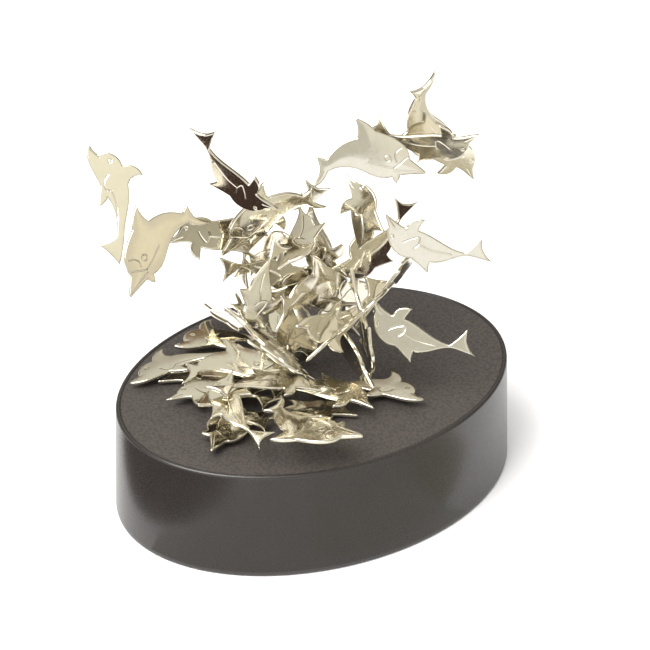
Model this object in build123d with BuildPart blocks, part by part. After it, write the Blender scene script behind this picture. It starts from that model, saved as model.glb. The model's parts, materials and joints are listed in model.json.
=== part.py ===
# A magnetic desk sculpture: loose steel dolphins that cling to each other and to an oval
# base with a magnet inside. Millimetres, +Z up, origin at the middle of the base's underside,
# the oval's long axis along X.
from build123d import *
import os

os.makedirs("parts", exist_ok=True)

# Base, outside
base_length = 110
base_width = 80
base_height = 32
draft = 1  # how far each side leans out from the top to the bottom
edge_radius = 0.8
rim_width = 0.9
rim_height = 0.3
foot_gap = 0.3  # the shell's lower edge stands this far above the table

# Base, inside
wall = 2.4
top_thickness = 2.4
ledge = 1.2  # how far the cover's seat cuts into the wall
cover_thickness = 2
cover_clearance = 0.2
pad_thickness = 1
pad_inset = 3

# Magnet and what holds it
magnet_radius = 25
magnet_height = 14
keeper_thickness = 2
collar_wall = 1.8
collar_depth = 8
magnet_clearance = 0.2
clamp_width = 14
clamp_thickness = 3
clamp_reach = 33  # from the middle to each clamp screw

# Screws and their bosses
boss_radius = 3.4
thread_radius = 1.25
thread_clearance = 0.05
thread_length = 8
head_radius = 2.6
head_height = 1.5
screw_hole_radius = 1.6
cover_screw_x = 36
cover_screw_y = 16

# Dolphins
sheet = 1.0

top_x = base_length / 2
top_y = base_width / 2
cover_top = pad_thickness + cover_thickness
ceiling = base_height - rim_height - top_thickness
magnet_bottom = ceiling - magnet_height
keeper_bottom = magnet_bottom - keeper_thickness
clamp_bottom = keeper_bottom - clamp_thickness
cover_screws_at = [(x, y) for x in (-cover_screw_x, cover_screw_x) for y in (-cover_screw_y, cover_screw_y)]
clamp_screws_at = [(-clamp_reach, 0), (clamp_reach, 0)]


def lean(z):
    """How far the wall stands outside the top oval at height z."""
    return draft * (1 - z / base_height)


def save(piece, name):
    piece.part.label = name
    export_step(piece.part, f"parts/{name}.step")


# ---------------------------------------------------------------- base shell
with BuildPart() as base_shell:
    with BuildSketch(Plane.XY.offset(foot_gap)):
        Ellipse(top_x + lean(foot_gap), top_y + lean(foot_gap))
    with BuildSketch(Plane.XY.offset(base_height)):
        Ellipse(top_x, top_y)
    loft()
    fillet(base_shell.edges().group_by(Axis.Z)[-1], edge_radius)
    # the sunk, grained field of the top, inside a thin rim
    with BuildSketch(Plane.XY.offset(base_height - rim_height)):
        Ellipse(top_x - rim_width, top_y - rim_width)
    extrude(amount=rim_height, mode=Mode.SUBTRACT)
    # the hollow inside
    with BuildSketch(Plane.XY.offset(foot_gap)):
        Ellipse(top_x + lean(foot_gap) - wall, top_y + lean(foot_gap) - wall)
    with BuildSketch(Plane.XY.offset(ceiling)):
        Ellipse(top_x + lean(ceiling) - wall, top_y + lean(ceiling) - wall)
    loft(mode=Mode.SUBTRACT)
    # the seat of the bottom cover
    with BuildSketch(Plane.XY.offset(foot_gap)):
        Ellipse(top_x + lean(0) - wall + ledge, top_y + lean(0) - wall + ledge)
    extrude(amount=cover_top - foot_gap, mode=Mode.SUBTRACT)
    # the collar round the magnet
    with BuildSketch(Plane.XY.offset(ceiling - collar_depth)):
        Circle(magnet_radius + magnet_clearance + collar_wall)
        Circle(magnet_radius + magnet_clearance, mode=Mode.SUBTRACT)
    extrude(amount=collar_depth)
    # screw bosses
    with BuildSketch(Plane.XY.offset(cover_top)):
        with Locations(*cover_screws_at):
            Circle(boss_radius)
    extrude(amount=ceiling - cover_top)
    with BuildSketch(Plane.XY.offset(keeper_bottom)):
        with Locations(*clamp_screws_at):
            Circle(boss_radius)
    extrude(amount=ceiling - keeper_bottom)
    with BuildSketch(Plane.XY.offset(cover_top)):
        with Locations(*cover_screws_at):
            Circle(thread_radius + thread_clearance)
    extrude(amount=thread_length + 1, mode=Mode.SUBTRACT)
    with BuildSketch(Plane.XY.offset(keeper_bottom)):
        with Locations(*clamp_screws_at):
            Circle(thread_radius + thread_clearance)
    extrude(amount=thread_length + 1, mode=Mode.SUBTRACT)
save(base_shell, "base_shell")

# ---------------------------------------------------------------- magnet and its clamp
with BuildPart() as magnet:
    with BuildSketch(Plane.XY.offset(magnet_bottom)):
        Circle(magnet_radius)
    extrude(amount=magnet_height)
    chamfer(magnet.edges().group_by(Axis.Z)[0], 0.8)
save(magnet, "magnet")

with BuildPart() as keeper_plate:
    with BuildSketch(Plane.XY.offset(keeper_bottom)):
        Circle(magnet_radius)
    extrude(amount=keeper_thickness)
save(keeper_plate, "keeper_plate")

with BuildPart() as magnet_clamp:
    with BuildSketch(Plane.XY.offset(clamp_bottom)):
        SlotCenterToCenter(2 * clamp_reach, clamp_width)
        with Locations(*clamp_screws_at):
            Circle(screw_hole_radius, mode=Mode.SUBTRACT)
    extrude(amount=clamp_thickness)
    fillet(magnet_clamp.faces().sort_by(Axis.Z)[0].outer_wire().edges(), 0.8)
save(magnet_clamp, "magnet_clamp")


def screws(places, seat, grip):
    """Pan-head screws driven upwards: heads under the seat, threads past the gripped thickness."""
    with BuildPart() as group:
        with BuildSketch(Plane.XY.offset(seat - head_height)):
            with Locations(*places):
                Circle(head_radius)
        extrude(amount=head_height)
        fillet(group.edges().group_by(Axis.Z)[0], 0.6)
        with BuildSketch(Plane.XY.offset(seat)):
            with Locations(*places):
                Circle(thread_radius)
        extrude(amount=grip + thread_length)
        # cross recess
        with BuildSketch(Plane.XY.offset(seat - head_height)):
            with Locations(*places):
                Rectangle(2.4, 0.6)
                Rectangle(0.6, 2.4)
        extrude(amount=0.8, mode=Mode.SUBTRACT)
    return group


save(screws(clamp_screws_at, clamp_bottom, clamp_thickness), "clamp_screws")

# ---------------------------------------------------------------- bottom cover and pad
with BuildPart() as bottom_cover:
    with BuildSketch(Plane.XY.offset(pad_thickness)):
        Ellipse(
            top_x + lean(0) - wall + ledge - cover_clearance,
            top_y + lean(0) - wall + ledge - cover_clearance,
        )
    extrude(amount=cover_thickness)
    # sunk seats for the screw heads
    with BuildSketch(Plane.XY.offset(pad_thickness)):
        with Locations(*cover_screws_at):
            Circle(head_radius + cover_clearance)
    extrude(amount=head_height, mode=Mode.SUBTRACT)
    with BuildSketch(Plane.XY.offset(pad_thickness)):
        with Locations(*cover_screws_at):
            Circle(screw_hole_radius)
    extrude(amount=cover_thickness, mode=Mode.SUBTRACT)
save(bottom_cover, "bottom_cover")

save(screws(cover_screws_at, pad_thickness + head_height, cover_thickness - head_height), "cover_screws")

with BuildPart() as felt_pad:
    with BuildSketch():
        Ellipse(top_x + draft - wall - pad_inset, top_y + draft - wall - pad_inset)
    extrude(amount=pad_thickness)
save(felt_pad, "felt_pad")

# ---------------------------------------------------------------- dolphin outlines
# Three punched shapes. +X runs from the tail to the nose and +Y from the belly to the back.
# Each stroke is a smooth curve through its points, and strokes meet at the corners.
swimmer = [
    [(14.1, -4.4), (11.6, -3.7), (9.2, -2.9), (7.5, -2.7)],  # lower jaw and throat
    [(7.5, -2.7), (6.9, -4.6), (3.4, -6.3)],  # flipper, leading edge
    [(3.4, -6.3), (3.9, -4.7), (4.2, -3.1)],
    [(4.2, -3.1), (-1.8, -2.3), (-7.5, -1.5), (-9.3, -1.7)],  # belly
    [(-9.3, -1.7), (-10.7, -4.2), (-12.0, -7.5)],  # lower fluke
    [(-12.0, -7.5), (-12.4, -5.8), (-12.9, -4.4)],
    [(-12.9, -4.4), (-14.6, -2.7), (-16.6, -1.7)],  # upper fluke
    [(-16.6, -1.7), (-12.9, -1.4), (-9.6, -0.9), (-6.0, 1.5), (-1.4, 3.8)],
    [(-1.4, 3.8), (-1.5, 5.4), (-2.0, 6.8)],  # back fin
    [(-2.0, 6.8), (0.6, 5.6), (3.7, 4.4)],
    [(3.7, 4.4), (8.5, 4.0), (11.0, 1.5), (11.9, -1.4)],  # forehead
    [(11.9, -1.4), (12.8, -2.7), (14.1, -4.4)],  # beak
]
leaper = [
    [(13.1, -4.4), (11.1, -2.8), (9.0, -1.2)],  # beak
    [(9.0, -1.2), (7.3, 2.6), (3.8, 4.8), (0.0, 6.1)],  # forehead
    [(0.0, 6.1), (-2.6, 8.3), (-5.8, 9.6)],  # back fin
    [(-5.8, 9.6), (-4.9, 7.0), (-5.0, 4.3)],
    [(-5.0, 4.3), (-9.3, 2.6), (-12.8, -1.3)],  # back
    [(-12.8, -1.3), (-14.1, -1.2), (-15.9, -0.5)],  # upper fluke
    [(-15.9, -0.5), (-15.0, -2.6), (-14.7, -4.6)],
    [(-14.7, -4.6), (-15.4, -6.8), (-17.0, -9.2)],  # lower fluke
    [(-17.0, -9.2), (-14.5, -7.8), (-12.4, -4.7)],
    [(-12.4, -4.7), (-8.8, -3.5), (-5.0, -3.9), (-1.2, -5.5), (4.3, -5.9)],  # belly
    [(4.3, -5.9), (4.7, -6.8), (5.5, -7.6)],  # flipper
    [(5.5, -7.6), (6.2, -6.6), (6.6, -5.4)],
    [(6.6, -5.4), (9.6, -5.2), (12.6, -5.1)],  # lower jaw
    [(12.6, -5.1), (13.2, -4.9), (13.1, -4.4)],
]
riser = [
    [(14.8, -3.3), (11.0, -3.6), (6.4, -2.3), (4.2, -1.7)],  # lower jaw and throat
    [(4.2, -1.7), (2.0, -2.5), (-0.7, -2.8)],  # flipper
    [(-0.7, -2.8), (0.0, -1.5), (1.0, -0.3)],
    [(1.0, -0.3), (-4.0, 0.7), (-9.0, -0.1)],  # belly
    [(-9.0, -0.1), (-9.9, -2.4), (-10.0, -5.2)],  # lower fluke
    [(-10.0, -5.2), (-13.1, -2.6), (-16.3, -0.7)],
    [(-16.3, -0.7), (-12.5, 1.0), (-6.0, 2.9), (-1.5, 4.6), (3.5, 5.4)],  # back
    [(3.5, 5.4), (4.7, 6.2)],
    [(4.7, 6.2), (5.3, 7.8), (5.1, 9.6)],  # back fin
    [(5.1, 9.6), (7.8, 7.9), (8.6, 4.8)],
    [(8.6, 4.8), (11.7, 3.2), (12.7, 1.2), (12.5, -0.7)],  # forehead
    [(12.5, -0.7), (13.6, -1.6), (14.9, -2.3)],  # beak
    [(14.9, -2.3), (15.2, -2.9), (14.8, -3.3)],
]


def dolphin(name, outline, at, heading, pitch, roll):
    """One punched dolphin with the middle of its sheet at the given place.

    Heading is the compass direction of the nose about Z, pitch lifts the nose, and roll turns
    the dolphin about its own length: 0 lies flat, 90 stands on its belly.
    """
    middle = Plane(Location(at, (roll, -pitch, heading), Extrinsic.XYZ))
    with BuildPart() as piece:
        with BuildSketch(middle.offset(-sheet / 2)):
            with BuildLine():
                for stroke in outline:
                    if len(stroke) == 2:
                        Line(*stroke)
                    else:
                        Spline(*stroke)
            make_face()
        extrude(amount=sheet)
    save(piece, name)

# name, shape, place of its middle, heading, pitch, roll
dolphins = [
    ("left_arm_tip_dolphin", riser, (-47.5, 21, 90), 80, 52, 168),
    ("left_arm_leaper_dolphin", leaper, (-41, 13, 79), -158, -25, 125),
    ("left_arm_middle_dolphin", swimmer, (-20, 14.5, 73.5), 168, 27, 109),
    ("left_arm_root_dolphin", leaper, (-10.5, 10.5, 80), 172, -24, 84),
    ("left_arm_brace_dolphin", swimmer, (-8.5, 15.5, 72.5), -29, 61, 92),
    ("left_back_stay_dolphin", swimmer, (-5.5, 16, 64), -62, 37, 82),
    ("upper_left_diver_dolphin", swimmer, (-17.5, 12, 93.5), -47, -44, -85),
    ("crown_back_dolphin", swimmer, (0.5, 8, 73.5), -125, -7, 18),
    ("crown_front_dolphin", swimmer, (7.5, 12, 67.5), -67, -68, -128),
    ("left_pillar_dolphin", swimmer, (-15.5, -1, 65.5), 176, -84, 88),
    ("centre_leaper_dolphin", leaper, (4, 1, 58.5), 12, -19, 74),
    ("centre_left_dolphin", swimmer, (-8.5, 6, 64), -20, -33, 68),
    ("centre_keel_dolphin", leaper, (-4.5, 0, 47.5), -17, -82, 108),
    ("right_arm_leaper_dolphin", leaper, (25, 12, 88), -29, 0, 63),
    ("right_arm_post_dolphin", swimmer, (21.5, 13, 66), 65, 55, 150),
    ("right_arm_tip_dolphin", leaper, (42.5, 16, 86.5), -2, -68, -91),
    ("right_arm_end_dolphin", swimmer, (43, 11, 84.5), -17, -28, 90),
    ("right_arm_back_dolphin", swimmer, (38, 9, 89.5), -35, -2, -83),
    ("right_shoulder_dolphin", swimmer, (22.5, 7, 62.5), -169, -23, -69),
    ("right_flyer_dolphin", swimmer, (28, -12, 72), 141, 16, -63),
    ("right_leaner_dolphin", swimmer, (21, -17, 49), 134, 17, -54),
    ("front_strut_low_dolphin", swimmer, (4.5, -14, 58), -5, 36, 142),
    ("front_strut_high_dolphin", riser, (21.5, -5, 59), 0, 44, 127),
    ("right_stander_dolphin", leaper, (6.5, -7.5, 43.5), -92, 3, 101),
    ("right_stander_back_dolphin", swimmer, (9, -11.5, 51.5), -93, -65, 99),
    ("centre_right_dolphin", riser, (6, -5.5, 55), -166, -5, -58),
    ("left_strut_front_dolphin", swimmer, (-17.5, -9.5, 53.5), -56, -30, 146),
    ("left_strut_back_dolphin", leaper, (-13, -1.5, 47), -58, -36, 154),
    ("right_flat_dolphin", riser, (8.5, -14.5, 34), -35, 1, -2),
    ("front_leaper_dolphin", leaper, (-17.5, -31.5, 41.5), -65, 5, 178),
    ("left_flat_dolphin", riser, (-30, 16, 36), 159, -11, -178),
    ("left_heap_top_dolphin", swimmer, (-26.5, 1.5, 35), 145, -3, -179),
    ("left_heap_low_dolphin", swimmer, (-24.5, 10.5, 33), 140, -1, -177),
    ("left_rear_flat_dolphin", riser, (-13.5, 22, 34), 154, 5, 178),
    ("heap_wide_dolphin", leaper, (-18, 4.5, 40), -24, -4, 4),
    ("heap_middle_dolphin", swimmer, (-18, -7.5, 41), -14, -9, -3),
    ("heap_low_dolphin", riser, (-22, -1, 37.5), 17, -7, 1),
    ("front_left_leaper_dolphin", leaper, (-29.5, -9.5, 33.5), -117, 2, -3),
    ("front_left_swimmer_dolphin", swimmer, (-30, -12.5, 40), 81, 6, -2),
    ("front_middle_dolphin", swimmer, (-11, -14.5, 33.5), -13, -4, -4),
    ("heap_right_dolphin", swimmer, (-3.5, -12.5, 37), -38, -4, 2),
    ("rear_stander_right_dolphin", swimmer, (8.5, 8, 51), 157, 52, 76),
    ("rear_leaper_dolphin", leaper, (-1, 14, 49.5), 99, 36, 104),
    ("rear_stander_left_dolphin", riser, (-7, 12.5, 49), 52, 67, 97),
    ("rear_right_low_dolphin", swimmer, (13, 11, 43), 6, 18, 75),
    ("rear_left_low_dolphin", leaper, (-11, 23, 39.5), 121, 3, 29),
    ("rear_flat_dolphin", riser, (2, 21.5, 35.5), 70, 4, 6),
]
for place in dolphins:
    dolphin(*place)
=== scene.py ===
import json
import math

import bpy
import numpy as np
from mathutils import Matrix, Vector
from mathutils.geometry import delaunay_2d_cdt

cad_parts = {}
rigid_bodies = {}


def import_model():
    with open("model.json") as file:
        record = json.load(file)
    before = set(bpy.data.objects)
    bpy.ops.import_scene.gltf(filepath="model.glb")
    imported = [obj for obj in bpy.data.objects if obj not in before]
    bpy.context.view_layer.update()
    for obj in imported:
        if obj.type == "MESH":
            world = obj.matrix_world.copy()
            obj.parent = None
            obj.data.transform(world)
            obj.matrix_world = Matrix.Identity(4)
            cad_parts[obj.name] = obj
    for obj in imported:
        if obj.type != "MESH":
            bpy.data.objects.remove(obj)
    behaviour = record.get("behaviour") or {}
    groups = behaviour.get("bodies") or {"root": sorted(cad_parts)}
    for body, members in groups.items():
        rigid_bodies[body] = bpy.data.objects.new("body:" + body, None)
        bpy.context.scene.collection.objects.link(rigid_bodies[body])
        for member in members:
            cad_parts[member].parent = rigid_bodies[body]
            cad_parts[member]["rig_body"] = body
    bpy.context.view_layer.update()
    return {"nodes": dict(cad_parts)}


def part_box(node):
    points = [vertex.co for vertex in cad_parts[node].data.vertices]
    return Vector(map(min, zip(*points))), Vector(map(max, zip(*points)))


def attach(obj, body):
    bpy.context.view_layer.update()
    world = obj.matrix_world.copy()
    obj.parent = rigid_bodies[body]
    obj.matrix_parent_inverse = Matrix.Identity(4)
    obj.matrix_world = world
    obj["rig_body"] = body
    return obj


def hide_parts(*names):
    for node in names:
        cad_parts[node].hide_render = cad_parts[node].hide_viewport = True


# A magnetic desk sculpture: loose nickel-plated steel dolphins that cling to each other
# and to an oval black plastic base with a magnet in it. Metres, +Z up.

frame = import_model()
nodes = frame["nodes"]
mm = 0.001
print("frame loaded:", len(nodes), "nodes")


def toLinear(hexColour):
    parts = [int(hexColour[i:i + 2], 16) / 255 for i in (1, 3, 5)]
    linear = [c / 12.92 if c <= 0.04045 else ((c + 0.055) / 1.055) ** 2.4 for c in parts]
    return (*linear, 1.0)


def addNode(tree, kind, links=None, **settings):
    # inputs are set by name or number, other settings as attributes; links maps an input to a socket
    node = tree.nodes.new(kind)
    inputs = settings.pop("inputs", {})
    for name, value in settings.items():
        setattr(node, name, value)
    for key, value in inputs.items():
        node.inputs[key].default_value = value
    for key, socket in (links or {}).items():
        tree.links.new(socket, node.inputs[key])
    return node


def newMaterial(name, **shaderInputs):
    material = bpy.data.materials.new(name)
    material.use_nodes = True
    tree = material.node_tree
    shader = tree.nodes["Principled BSDF"]
    for key, value in shaderInputs.items():
        shader.inputs[key.replace("_", " ")].default_value = value
    return material, tree, shader


# Camera: a long lens from the front left, looking down on the top of the base
cameraSetting = {
    "azimuth": -28.0,
    "elevation": 35.0,
    "distance": 0.9,
    "lens": 189.25,  # on a 36 mm sensor
    "aim": (2.74 * mm, -1.46 * mm, 49.0 * mm),
}


def directionAt(azimuth, elevation):
    # unit vector from the object towards that azimuth and elevation; azimuth 0 is the front, -Y
    a, e = math.radians(azimuth), math.radians(elevation)
    return Vector((math.sin(a) * math.cos(e), -math.cos(a) * math.cos(e), math.sin(e)))


cameraData = bpy.data.cameras.new("deskCamera")
cameraData.lens = cameraSetting["lens"]
cameraData.sensor_width = 36
cameraData.clip_start = 0.05
cameraData.clip_end = 20
camera = bpy.data.objects.new("deskCamera", cameraData)
bpy.context.scene.collection.objects.link(camera)
towardsCamera = directionAt(cameraSetting["azimuth"], cameraSetting["elevation"])
camera.location = Vector(cameraSetting["aim"]) + towardsCamera * cameraSetting["distance"]
camera.rotation_euler = towardsCamera.to_track_quat("Z", "Y").to_euler()
bpy.context.scene.camera = camera
bpy.context.scene.view_settings.view_transform = "Standard"
bpy.context.scene.view_settings.look = "None"
print("camera placed")

# Nickel-plated punched steel, barrel polished: a warm mirror, slightly wavy from the
# tumbling, with hairline scratches that soften the highlights
nickel = {
    "colour": "#E0DCCF",
    "dullColour": "#D6D0BF",
    "roughness": (0.07, 0.16),
    "waveSize": 5.0,  # mm, the slow unevenness left by tumbling
    "waveHeight": 0.012,
    "scratchSpacing": 0.35,  # mm, drawn coarser than the real hairlines so that they show
    "scratchHeight": 0.0007,
}


def makeNickel():
    material, tree, shader = newMaterial("polishedNickelPlate", Metallic=1.0)
    place = addNode(tree, "ShaderNodeTexCoord").outputs["Object"]
    patches = addNode(tree, "ShaderNodeTexNoise", {"Vector": place},
                      inputs={"Scale": 1 / (4 * mm), "Detail": 3.0})
    tone = addNode(tree, "ShaderNodeMix", {"Factor": patches.outputs["Fac"]}, data_type="RGBA")
    tone.inputs["A"].default_value = toLinear(nickel["colour"])
    tone.inputs["B"].default_value = toLinear(nickel["dullColour"])
    tree.links.new(tone.outputs["Result"], shader.inputs["Base Color"])
    fine = addNode(tree, "ShaderNodeTexNoise", {"Vector": place},
                   inputs={"Scale": 1 / (0.8 * mm), "Detail": 4.0})
    rough = addNode(tree, "ShaderNodeMapRange", {"Value": fine.outputs["Fac"]},
                    inputs={"From Min": 0.3, "From Max": 0.7,
                            "To Min": nickel["roughness"][0], "To Max": nickel["roughness"][1]})
    tree.links.new(rough.outputs["Result"], shader.inputs["Roughness"])
    wave = addNode(tree, "ShaderNodeTexNoise", {"Vector": place},
                   inputs={"Scale": 1 / (nickel["waveSize"] * mm), "Detail": 1.0})
    stretch = addNode(tree, "ShaderNodeMapping", {"Vector": place},
                      inputs={"Rotation": (0, 0, 0.5), "Scale": (0.06, 1.0, 1.0)})
    hair = addNode(tree, "ShaderNodeTexNoise", {"Vector": stretch.outputs["Vector"]},
                   inputs={"Scale": 1 / (nickel["scratchSpacing"] * mm), "Detail": 2.0})
    waveBump = addNode(tree, "ShaderNodeBump", {"Height": wave.outputs["Fac"]},
                       inputs={"Strength": 1.0, "Distance": nickel["waveHeight"] * mm})
    hairBump = addNode(tree, "ShaderNodeBump",
                       {"Height": hair.outputs["Fac"], "Normal": waveBump.outputs["Normal"]},
                       inputs={"Strength": 1.0, "Distance": nickel["scratchHeight"] * mm})
    tree.links.new(hairBump.outputs["Normal"], shader.inputs["Normal"])
    return material


nickelPlate = makeNickel()

# One plate, in millimetres: how its edge and faces are shaped, and how finely it is meshed
dolphinSetting = {
    "edgeRadius": 0.34,  # mm, the tumbled rounding of the punched edge
    "crown": {"swimmer": 0.05, "leaper": 0.16, "riser": 0.05},  # mm, how much each face bulges
    "crownReach": 4.5,  # mm in from the edge where the bulge is full
    "lineWidth": 0.28,
    "lineDepth": 0.07,
    "edgeStep": 0.28,  # spacing of the points along the outline
    "lineStep": 0.16,
    "fieldStep": 0.8,
    "edgeDepths": (0.06, 0.14, 0.24, 0.34, 0.5, 0.75),  # rows of points inside the outline
    "lineSides": (0, -0.09, 0.09, -0.19, 0.19, -0.34, 0.34),  # rows beside an engraved line
    "cornerTurn": 26,  # degrees, a sharper turn of the outline stays a corner
    "edgeClearance": 0.045,  # no point lies nearer to the outline
    "pointSpacing": 0.085,  # nearer neighbours are merged
}


def ringPoints(x, y, radius, start=0, turn=360, count=14):
    angles = [math.radians(start + turn * i / count) for i in range(count + 1)]
    return [(x + radius * math.cos(a), y + radius * math.sin(a)) for a in angles]


# Where the axes of each shape's area lie in its drawing: shift (mm) and turn (degrees)
drawingFrame = {
    "swimmer": (1.25, -0.08, 4.51),
    "leaper": (-1.42, -0.44, -0.4),
    "riser": (1.99, 1.23, 3.57),
}
# Engraved lines in each shape's drawing, in millimetres: +X to the nose, +Y to the back
engraving = {
    "swimmer": [
        ringPoints(10.1, 0.7, 0.42),
        [(6.7, 1.0), (5.0, -0.5), (3.2, -1.4), (2.9, 0.3), (3.7, 1.7)],
        [(2.9, 0.3), (-0.3, 0.7), (-2.9, 0.5), (-5.7, 0.0)],
        [(13.0, -3.9), (11.8, -2.9), (10.5, -2.0)],
    ],
    "leaper": [
        ringPoints(3.0, -0.95, 0.8, 20, 300),
        [(12.6, -4.55), (9.2, -4.3), (4.9, -4.2)],
        [(4.4, -3.5), (1.6, -3.0), (-0.2, -2.5), (-2.0, -2.0)],
        [(4.9, -3.5), (6.4, -2.3), (7.7, -1.1), (9.0, -0.4)],
        [(6.6, 1.8), (5.4, 0.9), (4.9, -0.5), (5.3, -1.7)],
    ],
    "riser": [
        ringPoints(10.2, 1.9, 0.42),
        [(14.2, -2.6), (12.8, -1.5), (11.6, -0.6)],
        [(6.6, 0.6), (5.2, -0.6), (3.4, -0.6), (2.6, 0.6)],
        [(2.6, 0.9), (-0.4, 1.4), (-3.6, 1.2), (-6.4, 0.6)],
    ],
}


def cross2(a, b):
    return a[..., 0] * b[..., 1] - a[..., 1] * b[..., 0]


def plateOutline(node):
    # the loop of points round one flat face of a plate, and the face's normal
    mesh = node.data
    corners = np.array([v.co for v in mesh.vertices], float)
    keys = {}
    same = np.array([keys.setdefault(tuple(np.round(c / mm, 3)), i) for i, c in enumerate(corners)])
    normals = np.array([p.normal for p in mesh.polygons], float)
    areas = np.array([p.area for p in mesh.polygons])
    normal = normals[int(np.argmax(areas))]
    edges = {}
    for polygon, facing in zip(mesh.polygons, normals @ normal):
        if facing > 0.999:
            ring = [int(same[i]) for i in polygon.vertices]
            for a, b in zip(ring, ring[1:] + ring[:1]):
                edges[(a, b)] = True
    follow = {a: b for a, b in edges if (b, a) not in edges}
    start = min(follow)
    loop, here = [start], follow[start]
    while here != start:
        loop.append(here)
        here = follow[here]
    return corners[loop], normal


def plateFrame(node):
    # the plate's own axes from the moments of its area: origin in the middle of its
    # thickness, +X to the nose (the tail is the longer, thinner end), +Y to the back fin
    loop, normal = plateOutline(node)
    thickness = np.ptp(np.array([v.co for v in node.data.vertices], float) @ normal)
    first = np.cross(normal, (0.3, 0.5, 0.8))
    first /= np.linalg.norm(first)
    second = np.cross(normal, first)
    flat = np.stack([loop @ first, loop @ second], 1)
    offset = flat.mean(0)
    flat = flat - offset
    nextFlat = np.roll(flat, -1, 0)
    weight = cross2(flat, nextFlat)
    area = weight.sum() / 2
    centre = ((flat + nextFlat) * weight[:, None]).sum(0) / (6 * area)
    flat = flat - centre
    nextFlat = nextFlat - centre
    weight = cross2(flat, nextFlat)
    spread = np.array([
        [(weight * (flat[:, i] * flat[:, j] + nextFlat[:, i] * nextFlat[:, j]
                    + (flat[:, i] * nextFlat[:, j] + nextFlat[:, i] * flat[:, j]) / 2)).sum()
         for j in (0, 1)] for i in (0, 1)])
    if area < 0:
        spread = -spread
    values, vectors = np.linalg.eigh(spread)
    axes = []
    for axis in (vectors[:, 1], vectors[:, 0]):
        a, b = flat @ axis, nextFlat @ axis
        third = (weight * (a ** 3 + a * a * b + a * b * b + b ** 3)).sum() * (1 if area > 0 else -1)
        axes.append(axis * (1 if third >= 0 else -1))
    along = -(axes[0][0] * first + axes[0][1] * second)
    across = axes[1][0] * first + axes[1][1] * second
    upright = np.cross(along, across)
    height = loop[0] @ normal - thickness / 2
    origin = first * (offset[0] + centre[0]) + second * (offset[1] + centre[1]) + normal * height
    rows = np.column_stack([along, across, upright, origin])
    matrix = Matrix(np.vstack([rows, [0, 0, 0, 1]]).tolist())
    local = np.stack([(loop - origin) @ along, (loop - origin) @ across], 1) / mm
    if cross2(local, np.roll(local, -1, 0)).sum() < 0:
        local = local[::-1]
    return matrix, local, abs(area) / mm ** 2, thickness / mm


def smoothLoop(loop, step):
    # evenly spaced points round the loop, through its corners
    gaps = np.linalg.norm(np.roll(loop, -1, 0) - loop, axis=1)
    loop = loop[gaps > 0.01]
    before, after = loop - np.roll(loop, 1, 0), np.roll(loop, -1, 0) - loop
    turn = np.degrees(np.abs(np.arctan2(cross2(before, after), (before * after).sum(1))))
    corners = np.flatnonzero(turn > dolphinSetting["cornerTurn"])
    result = []
    for start, end in zip(corners, np.roll(corners, -1)):
        count = (end - start) % len(loop)
        run = loop[[(start + i) % len(loop) for i in range(count + 1)]]
        lengths = np.r_[0, np.cumsum(np.linalg.norm(np.diff(run, axis=0), axis=1))]
        pieces = max(1, round(lengths[-1] / step))
        places = np.linspace(0, lengths[-1], pieces + 1)[:-1]
        result.append(np.stack([np.interp(places, lengths, run[:, i]) for i in (0, 1)], 1))
    return np.vstack(result)


def distanceTo(points, starts, ends):
    best = np.full(len(points), 1e9)
    for start, end in zip(starts, ends):
        run = end - start
        share = np.clip(((points - start) @ run) / max(run @ run, 1e-12), 0, 1)
        best = np.minimum(best, np.linalg.norm(points - start - share[:, None] * run, axis=1))
    return best


def isInside(points, loop):
    x, y = points[:, 0], points[:, 1]
    inside = np.zeros(len(points), bool)
    for a, b in zip(loop, np.roll(loop, -1, 0)):
        if a[1] != b[1]:
            crosses = (a[1] > y) != (b[1] > y)
            inside ^= crosses & (x < (b[0] - a[0]) * (y - a[1]) / (b[1] - a[1]) + a[0])
    return inside


def smoothLine(points, step):
    # a Catmull-Rom line through a few points, evenly spaced
    points = np.array(points, float)
    ends = np.vstack([2 * points[0] - points[1], points, 2 * points[-1] - points[-2]])
    line = []
    for a, b, c, d in zip(ends, ends[1:], ends[2:], ends[3:]):
        for t in np.linspace(0, 1, 12, endpoint=False):
            line.append(0.5 * (2 * b + (c - a) * t + (2 * a - 5 * b + 4 * c - d) * t * t
                               + (3 * b - a - 3 * c + d) * t ** 3))
    line = np.array(line + [points[-1]])
    lengths = np.r_[0, np.cumsum(np.linalg.norm(np.diff(line, axis=0), axis=1))]
    places = np.linspace(0, lengths[-1], max(2, round(lengths[-1] / step)) + 1)
    return np.stack([np.interp(places, lengths, line[:, i]) for i in (0, 1)], 1)


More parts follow.
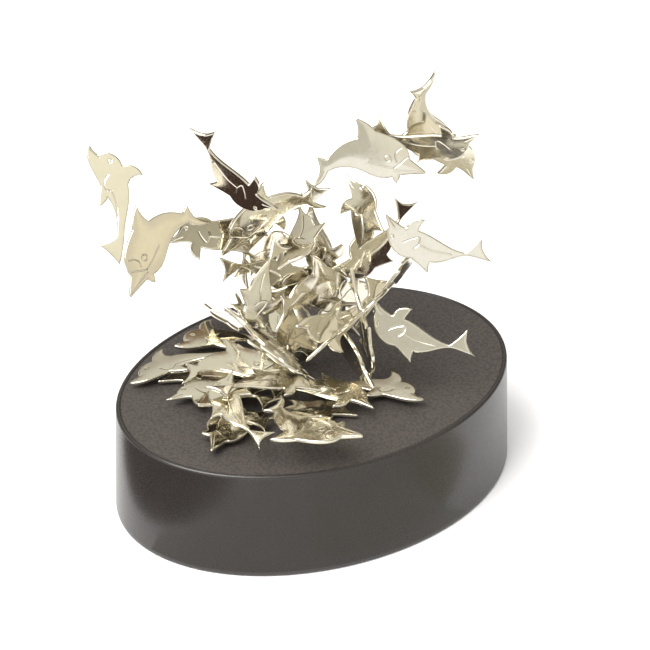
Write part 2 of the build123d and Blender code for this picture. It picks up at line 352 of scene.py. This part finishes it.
def makeDolphinMesh(shape, loop, thickness):
    # one fine mesh of a plate: rounded edge, slightly bulging faces and engraved lines
    setting = dolphinSetting
    half, radius = thickness / 2, setting["edgeRadius"]
    loop = smoothLoop(loop, setting["edgeStep"])
    shiftX, shiftY, turn = drawingFrame[shape]
    c, s = math.cos(math.radians(turn)), math.sin(math.radians(turn))
    lines = []
    for line in engraving[shape]:
        moved = np.array(line, float) - (shiftX, shiftY)
        lines.append(smoothLine(np.stack([moved @ (c, s), moved @ (-s, c)], 1), setting["lineStep"]))
    ends = np.roll(loop, -1, 0)
    tangent = ends - np.roll(loop, 1, 0)
    tangent /= np.linalg.norm(tangent, axis=1)[:, None]
    inward = np.stack([-tangent[:, 1], tangent[:, 0]], 1)
    candidates = []
    for depth in setting["edgeDepths"]:
        ring = loop + inward * depth
        far = distanceTo(ring, loop, ends)
        candidates.append(ring[(far > depth * 0.93) & isInside(ring, loop)])
    for line in lines:
        tangent = np.gradient(line, axis=0)
        tangent /= np.linalg.norm(tangent, axis=1)[:, None]
        sideways = np.stack([-tangent[:, 1], tangent[:, 0]], 1)
        for side in setting["lineSides"]:
            candidates.append(line + sideways * side)
    low, high = loop.min(0), loop.max(0)
    step = setting["fieldStep"]
    rowStep = step * 0.87  # near-equal triangles
    gridX, gridY = np.meshgrid(np.arange(low[0], high[0], step), np.arange(low[1], high[1], rowStep))
    gridX[1::2] += step / 2
    field = np.stack([gridX.ravel(), gridY.ravel()], 1)
    candidates.append(field)
    points = np.vstack(candidates)
    points = points[isInside(points, loop)]
    points = points[distanceTo(points, loop, ends) > setting["edgeClearance"]]
    kept = {}
    for point in points:  # the earlier, finer points win over near neighbours
        kept.setdefault(tuple(np.round(point / setting["pointSpacing"]).astype(int)), point)
    points = np.array(list(kept.values()))
    flat = np.vstack([loop, points])
    border = [(i, (i + 1) % len(loop)) for i in range(len(loop))]
    result = delaunay_2d_cdt([Vector(p) for p in flat], border, [], 1, 1e-7)
    flat = np.array([tuple(v) for v in result[0]])
    faces = [list(face) for face in result[2]]
    edgeGap = distanceTo(flat, loop, ends)
    isBorder = edgeGap < 1e-5
    edgeGap[isBorder] = 0
    rounding = radius - np.sqrt(np.maximum(radius ** 2 - np.maximum(radius - edgeGap, 0) ** 2, 0))
    reach = np.clip((edgeGap - radius) / setting["crownReach"], 0, 1)
    height = half - rounding + setting["crown"][shape] * (1 - (1 - reach) ** 2)
    for line in lines:
        away = distanceTo(flat, line[:-1], line[1:]) / (setting["lineWidth"] / 2 * 1.25)
        height = height - setting["lineDepth"] * np.clip(1 - away ** 2, 0, 1) ** 1.5
    count = len(flat)
    upper = np.column_stack([flat, height])
    lower = np.column_stack([flat, -height])
    signedArea = [cross2(flat[f[1]] - flat[f[0]], flat[f[2]] - flat[f[0]]) for f in faces]
    faces = [f if a > 0 else f[::-1] for f, a in zip(faces, signedArea) if abs(a) > 1e-9]
    used = {}
    for f in faces:
        for a, b in zip(f, f[1:] + f[:1]):
            used[(a, b)] = True
    rim = [(a, b) for a, b in used if (b, a) not in used]
    everyFace = faces + [[i + count for i in f[::-1]] for f in faces]
    everyFace += [[b, a, a + count, b + count] for a, b in rim]
    mesh = bpy.data.meshes.new(shape + "Plate")
    mesh.from_pydata((np.vstack([upper, lower]) * mm).tolist(), [], everyFace)
    mesh.validate()
    mesh.update()
    mesh.shade_smooth()
    mesh.materials.append(nickelPlate)
    print("  ", shape, len(mesh.vertices), "points,", len(mesh.polygons), "faces")
    return mesh


plates = {name: plateFrame(node) for name, node in sorted(nodes.items()) if name.endswith("_dolphin")}
areas = sorted({round(plate[2]) for plate in plates.values()})
shapeOf = dict(zip(areas, ("swimmer", "riser", "leaper")))  # the three areas, smallest first
meshOf = {}
for name, (matrix, loop, area, thickness) in plates.items():
    shape = shapeOf[round(area)]
    if shape not in meshOf:
        meshOf[shape] = makeDolphinMesh(shape, loop, thickness)
    mesh = meshOf[shape].copy()
    mesh.transform(matrix)
    piece = bpy.data.objects.new("pressed_" + name.replace("_dolphin", ""), mesh)
    bpy.context.scene.collection.objects.link(piece)
    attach(piece, nodes[name]["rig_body"])
    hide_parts(name)
print("dolphins made:", len(plates), "shapes:", shapeOf)

# Moulded ABS, black: the sides come from a polished mould with a soft sheen, the sunk
# field of the top from a mould etched with a fine leather grain
plastic = {
    "sideColour": "#262322",
    "sideCloud": "#2E2A28",
    "cloudSize": 9,  # mm, the slow unevenness of the sides
    # painted light: the top field's colour is lighter than the sides' black, for the light falling on the
    # upward face
    "topColour": "#453F3B",
    # painted shade: the darker colour in the valleys of the grain, where shade falls in the recesses
    "topValley": "#37322F",
    "sideRoughness": 0.27,
    "topRoughness": 0.5,
    "grain": 0.75,  # mm across one pebble of the grain
    "grainHeight": 0.05,
}


def makeSidePlastic():
    material, tree, shader = newMaterial("mouldedAbsSatin", IOR=1.5)
    place = addNode(tree, "ShaderNodeTexCoord").outputs["Object"]
    cloud = addNode(tree, "ShaderNodeTexNoise", {"Vector": place},
                    inputs={"Scale": 1 / (plastic["cloudSize"] * mm), "Detail": 4.0})
    tone = addNode(tree, "ShaderNodeMix", {"Factor": cloud.outputs["Fac"]}, data_type="RGBA")
    tone.inputs["A"].default_value = toLinear(plastic["sideColour"])
    tone.inputs["B"].default_value = toLinear(plastic["sideCloud"])
    tree.links.new(tone.outputs["Result"], shader.inputs["Base Color"])
    fine = addNode(tree, "ShaderNodeTexNoise", {"Vector": place},
                   inputs={"Scale": 1 / (0.25 * mm), "Detail": 2.0})
    rough = addNode(tree, "ShaderNodeMapRange", {"Value": fine.outputs["Fac"]},
                    inputs={"To Min": plastic["sideRoughness"] - 0.04,
                            "To Max": plastic["sideRoughness"] + 0.05})
    tree.links.new(rough.outputs["Result"], shader.inputs["Roughness"])
    bump = addNode(tree, "ShaderNodeBump", {"Height": fine.outputs["Fac"]},
                   inputs={"Strength": 1.0, "Distance": 0.002 * mm})
    tree.links.new(bump.outputs["Normal"], shader.inputs["Normal"])
    return material


def makeTopPlastic():
    material, tree, shader = newMaterial("mouldedAbsLeatherGrain", IOR=1.5)
    place = addNode(tree, "ShaderNodeTexCoord").outputs["Object"]
    sway = addNode(tree, "ShaderNodeTexNoise", {"Vector": place},
                   inputs={"Scale": 1 / (1.6 * mm), "Detail": 2.0})
    push = addNode(tree, "ShaderNodeVectorMath", {0: sway.outputs["Color"]}, operation="SCALE")
    push.inputs["Scale"].default_value = 0.6 * mm
    bent = addNode(tree, "ShaderNodeVectorMath", {0: place, 1: push.outputs["Vector"]}, operation="ADD")
    pebble = addNode(tree, "ShaderNodeTexVoronoi", {"Vector": bent.outputs["Vector"]},
                     feature="SMOOTH_F1", inputs={"Scale": 1 / (plastic["grain"] * mm), "Smoothness": 0.35})
    finer = addNode(tree, "ShaderNodeTexNoise", {"Vector": place},
                    inputs={"Scale": 1 / (0.3 * mm), "Detail": 3.0})
    height = addNode(tree, "ShaderNodeMath", {0: finer.outputs["Fac"], 2: pebble.outputs["Distance"]},
                     operation="MULTIPLY_ADD", inputs={1: -0.35})
    # how deep a point lies in a valley of the grain: it sets the painted shade in the colour and a higher
    # roughness
    valleyShadeAndRoughMask = addNode(tree, "ShaderNodeMapRange", {"Value": pebble.outputs["Distance"]},
                     inputs={"From Min": 0.25, "From Max": 0.75})
    # painted light and shade: the lighter top colour, with painted shade darkening the grain's valleys
    tone = addNode(tree, "ShaderNodeMix", {"Factor": valleyShadeAndRoughMask.outputs["Result"]}, data_type="RGBA")
    tone.inputs["A"].default_value = toLinear(plastic["topColour"])
    tone.inputs["B"].default_value = toLinear(plastic["topValley"])
    tree.links.new(tone.outputs["Result"], shader.inputs["Base Color"])
    rough = addNode(tree, "ShaderNodeMapRange", {"Value": valleyShadeAndRoughMask.outputs["Result"]},
                    inputs={"To Min": plastic["topRoughness"], "To Max": plastic["topRoughness"] + 0.15})
    tree.links.new(rough.outputs["Result"], shader.inputs["Roughness"])
    bump = addNode(tree, "ShaderNodeBump", {"Height": height.outputs["Value"]}, invert=True,
                   inputs={"Strength": 1.0, "Distance": plastic["grainHeight"] * mm})
    tree.links.new(bump.outputs["Normal"], shader.inputs["Normal"])
    return material


sidePlastic, topPlastic = makeSidePlastic(), makeTopPlastic()
baseShape = {
    "rimWidth": 0.9,
    "edgeRadius": 0.8,
    "fieldDrop": 0.3,
    "draft": 1.0,
    "wall": 2.4,
    "topThickness": 2.4,
    "ledge": 1.2,  # how far in the cover's seat starts
    "seatHeight": 2.7,
    "segments": 384,
}


def makeBase():
    # the shell as one skin: outside wall, rounded rim, sunk field, then the hollow inside
    low, high = (np.array(corner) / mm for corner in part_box("base_shell"))
    bottom, top = low[2], high[2]
    longHalf, shortHalf = high[0], high[1]
    radius, rim = baseShape["edgeRadius"], baseShape["rimWidth"]
    slope = baseShape["draft"] / (top - bottom)
    fieldZ = top - baseShape["fieldDrop"]
    ceilingZ = top - baseShape["fieldDrop"] - baseShape["topThickness"]
    inner = baseShape["draft"] + rim
    ledge = baseShape["ledge"]
    profile = [(ledge, bottom), (0.5, bottom), (0.12, bottom + 0.12), (slope * 0.5, bottom + 0.5)]
    profile += [(slope * (z - bottom), z) for z in np.linspace(bottom + 1.5, top - radius - 0.3, 12)]
    edge = baseShape["draft"]
    for angle in np.linspace(0, 90, 9):
        a = math.radians(angle)
        profile.append((edge - 0.03 + radius * (1 - math.cos(a)), top - radius * (1 - math.sin(a))))
    profile += [(inner + 0.1, top - 0.01), (inner + 0.2, top - 0.06), (inner + 0.26, fieldZ + 0.08),
                (inner + 0.34, fieldZ + 0.015), (inner + 0.5, fieldZ)]
    fieldStart = len(profile) - 1
    profile += [(inner + 0.5 + d, fieldZ) for d in (1, 4, 9, 15, 22, 29, 34)]
    count = baseShape["segments"]
    points, faces, slots = [], [], []

    def addRing(inset, z):
        start = len(points)
        for i in range(count):
            a = 2 * math.pi * i / count
            x = max(longHalf - inset, 1.0) * math.cos(a)
            y = max(shortHalf - inset, 0.5) * math.sin(a)
            points.append((x, y, z))
        return start

    def addBand(lower, upper, slot):
        for i in range(count):
            j = (i + 1) % count
            faces.append((lower + i, lower + j, upper + j, upper + i))
            slots.append(slot)

    rings = [addRing(inset, z) for inset, z in profile]
    for i, (a, b) in enumerate(zip(rings, rings[1:])):
        addBand(a, b, 1 if i >= fieldStart else 0)
    points.append((0, 0, fieldZ))
    centre = len(points) - 1
    for i in range(count):
        faces.append((rings[-1] + i, rings[-1] + (i + 1) % count, centre))
        slots.append(1)
    wall = baseShape["wall"]
    seatZ = bottom + baseShape["seatHeight"]
    upperWall = wall + baseShape["draft"] * 0.9
    inside = [(ledge, bottom), (ledge, seatZ), (wall, seatZ), (upperWall, ceilingZ)]
    inside += [(upperWall + d, ceilingZ) for d in (8, 20, 34)]
    innerRings = [rings[0]] + [addRing(inset, z) for inset, z in inside[1:]]
    for a, b in zip(innerRings, innerRings[1:]):
        addBand(b, a, 0)
    points.append((0, 0, ceilingZ))
    for i in range(count):
        faces.append((innerRings[-1] + (i + 1) % count, innerRings[-1] + i, len(points) - 1))
        slots.append(0)
    mesh = bpy.data.meshes.new("mouldedBase")
    mesh.from_pydata([(x * mm, y * mm, z * mm) for x, y, z in points], [], faces)
    mesh.materials.append(sidePlastic)
    mesh.materials.append(topPlastic)
    for polygon, slotNumber in zip(mesh.polygons, slots):
        polygon.material_index = slotNumber
    mesh.shade_smooth()
    mesh.validate()
    base = bpy.data.objects.new("moulded_base", mesh)
    bpy.context.scene.collection.objects.link(base)
    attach(base, nodes["base_shell"]["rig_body"])
    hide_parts("base_shell")
    return base


makeBase()
print("base made")

# What is inside and under the base keeps its CAD shape
innerFinish = {
    # sintered ferrite, ground on its flat faces: dark grey and matt
    "magnet": ("sinteredFerrite", "#3B3B3E", "#2C2C2F", 0.0, 0.62, 0.5, 0.03),
    # zinc-plated steel: bluish grey, faintly mottled crystals
    "keeper_plate": ("zincPlatedSteel", "#B9BCC0", "#9DA1A6", 1.0, 0.34, 1.2, 0.008),
    "clamp_screws": ("zincPlatedScrews", "#C2C4C6", "#A3A6AA", 1.0, 0.28, 0.6, 0.005),
    "cover_screws": ("zincPlatedScrewHeads", "#C2C4C6", "#A3A6AA", 1.0, 0.28, 0.6, 0.005),
    # moulded ABS straight from a blasted mould: black and even
    "magnet_clamp": ("mouldedAbsClamp", "#242223", "#1D1B1C", 0.0, 0.45, 0.4, 0.01),
    "bottom_cover": ("mouldedAbsCover", "#242223", "#1D1B1C", 0.0, 0.48, 0.4, 0.012),
    # needled wool felt: very matt, with loose fibres
    "felt_pad": ("needledFelt", "#1D1D20", "#2A2A2E", 0.0, 0.95, 0.35, 0.12),
}
for name, (title, colour, second, metallic, roughness, grain, height) in innerFinish.items():
    material, tree, shader = newMaterial(title, Metallic=metallic)
    place = addNode(tree, "ShaderNodeTexCoord").outputs["Object"]
    noise = addNode(tree, "ShaderNodeTexNoise", {"Vector": place},
                    inputs={"Scale": 1 / (grain * mm), "Detail": 5.0, "Roughness": 0.6})
    tone = addNode(tree, "ShaderNodeMix", {"Factor": noise.outputs["Fac"]}, data_type="RGBA")
    tone.inputs["A"].default_value = toLinear(colour)
    tone.inputs["B"].default_value = toLinear(second)
    tree.links.new(tone.outputs["Result"], shader.inputs["Base Color"])
    rough = addNode(tree, "ShaderNodeMapRange", {"Value": noise.outputs["Fac"]},
                    inputs={"To Min": roughness - 0.05, "To Max": roughness + 0.05})
    tree.links.new(rough.outputs["Result"], shader.inputs["Roughness"])
    bump = addNode(tree, "ShaderNodeBump", {"Height": noise.outputs["Fac"]},
                   inputs={"Strength": 1.0, "Distance": height * mm})
    tree.links.new(bump.outputs["Normal"], shader.inputs["Normal"])
    node = nodes[name]
    node.data.materials.clear()
    node.data.materials.append(material)
    for polygon in node.data.polygons:
        polygon.material_index = 0
    if name == "felt_pad":
        shader.inputs["Sheen Weight"].default_value = 0.4
print("inner parts finished")

# The studio: a white table in a bright room, and small cards that the polished faces pick
# up, as in a product studio. A card is put where the camera sees it in a plate
studio = {
    "tableColour": "#F4F2F0",
    "tableFleck": "#F0EEEC",
    "fleckScale": 900.0,  # flecks of about 1.1 mm
    "tableRadius": 0.6,
    "lightStrength": 1.0,
    "keyPower": 26,
    "cardDistance": 0.34,
    "cardLift": 0.0015,
    "room": "#857B68",  # what the steel mirrors where nothing else stands
    # azimuth, elevation, inner and outer angle, colour, strength of what stands round the table
    "surroundings": [
        (-28, 36, 20, 44, "#FFFCF2", 1.05),  # the big softbox beside the camera
        (-88, 24, 16, 34, "#F4F1E6", 1.0),
        (38, 24, 14, 30, "#F8F0DC", 1.0),
        (155, 62, 28, 41, "#F4F1E4", 1.0),  # pale wall high up behind
        (150, 10, 14, 24, "#6B5A48", 1.0),  # brown furniture low down behind
        (28, -2, 7, 15, "#3A2C26", 1.0),
        (-34, -8, 9, 20, "#4A3A30", 1.0),
    ],
    # plate, card width, colour, strength
    "cards": [
        ("right_arm_post_dolphin", 0.09, "#F2EFE2", 1.0),
        ("right_arm_tip_dolphin", 0.09, "#F2EFE2", 1.0),
        ("right_leaner_dolphin", 0.08, "#E2E0D6", 0.95),
        ("left_pillar_dolphin", 0.08, "#E6DFC6", 0.9),
        ("centre_leaper_dolphin", 0.05, "#F0E6CC", 0.9),
        ("left_arm_middle_dolphin", 0.07, "#D8D2BC", 0.8),
        ("front_leaper_dolphin", 0.05, "#8A745C", 0.9),
        ("front_left_leaper_dolphin", 0.05, "#A08A6C", 0.9),
        ("upper_left_diver_dolphin", 0.12, "#4A3A34", 1.0),
        ("right_shoulder_dolphin", 0.10, "#43342E", 1.0),
        ("right_flyer_dolphin", 0.09, "#FFFFFF", 1.25),
        ("right_arm_back_dolphin", 0.09, "#FFFDF2", 1.0),
        ("left_arm_tip_dolphin", 0.09, "#FFFBEA", 1.2),
        ("left_arm_leaper_dolphin", 0.06, "#FFF6DC", 1.1),
    ],
}


def makeFloor():
    mesh = bpy.data.meshes.new("table")
    count, radius = 96, studio["tableRadius"]
    angles = [2 * math.pi * i / count for i in range(count)]
    ring = [(radius * math.cos(a), radius * math.sin(a), 0.0) for a in angles]
    mesh.from_pydata(ring, [], [list(range(count))])
    floor = bpy.data.objects.new("table", mesh)
    bpy.context.scene.collection.objects.link(floor)
    material, tree, shader = newMaterial("paperSweep", Roughness=0.9)
    place = addNode(tree, "ShaderNodeTexCoord").outputs["Object"]
    noise = addNode(tree, "ShaderNodeTexNoise", {"Vector": place},
                    inputs={"Scale": studio["fleckScale"], "Detail": 3.0})
    tone = addNode(tree, "ShaderNodeMix", {"Factor": noise.outputs["Fac"]}, data_type="RGBA")
    tone.inputs["A"].default_value = toLinear(studio["tableColour"])
    tone.inputs["B"].default_value = toLinear(studio["tableFleck"])
    tree.links.new(tone.outputs["Result"], shader.inputs["Base Color"])
    mesh.materials.append(material)
    return floor


def makeWorld():
    world = bpy.data.worlds.new("studioRoom")
    world.use_nodes = True
    bpy.context.scene.world = world
    tree = world.node_tree
    tree.nodes.clear()
    direction = addNode(tree, "ShaderNodeTexCoord").outputs["Generated"]
    start = addNode(tree, "ShaderNodeRGB")
    start.outputs[0].default_value = toLinear(studio["room"])
    picture = start.outputs[0]
    for azimuth, elevation, inner, outer, colour, strength in studio["surroundings"]:
        dot = addNode(tree, "ShaderNodeVectorMath", {0: direction}, operation="DOT_PRODUCT")
        dot.inputs[1].default_value = directionAt(azimuth, elevation)
        patch = addNode(tree, "ShaderNodeMapRange", {"Value": dot.outputs["Value"]},
                        interpolation_type="SMOOTHSTEP",
                        inputs={"From Min": math.cos(math.radians(outer)),
                                "From Max": math.cos(math.radians(inner))})
        painted = addNode(tree, "ShaderNodeMix", {"Factor": patch.outputs["Result"], "A": picture},
                          data_type="RGBA")
        painted.inputs["B"].default_value = [c * strength for c in toLinear(colour)]
        picture = painted.outputs["Result"]
    ray = addNode(tree, "ShaderNodeLightPath")  # mirrors see the room; the table gets even light
    seen = addNode(tree, "ShaderNodeMix", {"Factor": ray.outputs["Is Glossy Ray"], "B": picture},
                   data_type="RGBA")
    seen.inputs["A"].default_value = (1, 1, 1, 1)
    light = addNode(tree, "ShaderNodeBackground", {"Color": seen.outputs["Result"]},
                    inputs={"Strength": studio["lightStrength"]})
    addNode(tree, "ShaderNodeOutputWorld", {"Surface": light.outputs["Background"]})


def addCard(name, width, colour, strength):
    matrix = plates[name][0]
    centre = matrix.translation
    normal = Vector(matrix.col[2][:3])
    seenFrom = (centre - camera.location).normalized()
    towards = seenFrom - 2 * seenFrom.dot(normal) * normal
    distance = studio["cardDistance"]
    facing = -towards
    if towards.z < 0 and -centre.z / towards.z < distance:
        distance = -(centre.z - studio["cardLift"]) / towards.z  # it lies on the table
        facing = Vector((0, 0, 1))
    place = centre + towards * distance
    corners = [(-0.5, -0.5, 0), (0.5, -0.5, 0), (0.5, 0.5, 0), (-0.5, 0.5, 0)]
    mesh = bpy.data.meshes.new("card")
    mesh.from_pydata([tuple(width * c for c in corner) for corner in corners], [], [(0, 1, 2, 3)])
    material, tree, shader = newMaterial("card_" + name, Roughness=0.9)
    shader.inputs["Base Color"].default_value = (0, 0, 0, 1)
    shader.inputs["Specular IOR Level"].default_value = 0
    shader.inputs["Emission Color"].default_value = toLinear(colour)
    shader.inputs["Emission Strength"].default_value = strength
    mesh.materials.append(material)
    card = bpy.data.objects.new("card_" + name, mesh)
    bpy.context.scene.collection.objects.link(card)
    card.rotation_euler = facing.to_track_quat("Z", "Y").to_euler()
    card.location = place
    card.visible_camera = card.visible_diffuse = card.visible_shadow = False
    return card


def addSoftbox(name, azimuth, elevation, distance, width, height, power):
    data = bpy.data.lights.new(name, "AREA")
    data.shape = "RECTANGLE"
    data.size, data.size_y = width, height
    data.energy = power
    lamp = bpy.data.objects.new(name, data)
    bpy.context.scene.collection.objects.link(lamp)
    towards = directionAt(azimuth, elevation)
    lamp.location = towards * distance + Vector((0, 0, 0.05))
    lamp.rotation_euler = towards.to_track_quat("Z", "Y").to_euler()
    return lamp


makeFloor()
makeWorld()
addSoftbox("keySoftbox", -75, 58, 1.3, 0.9, 0.9, studio["keyPower"])
for card in studio["cards"]:
    addCard(*card)
print("studio lit")
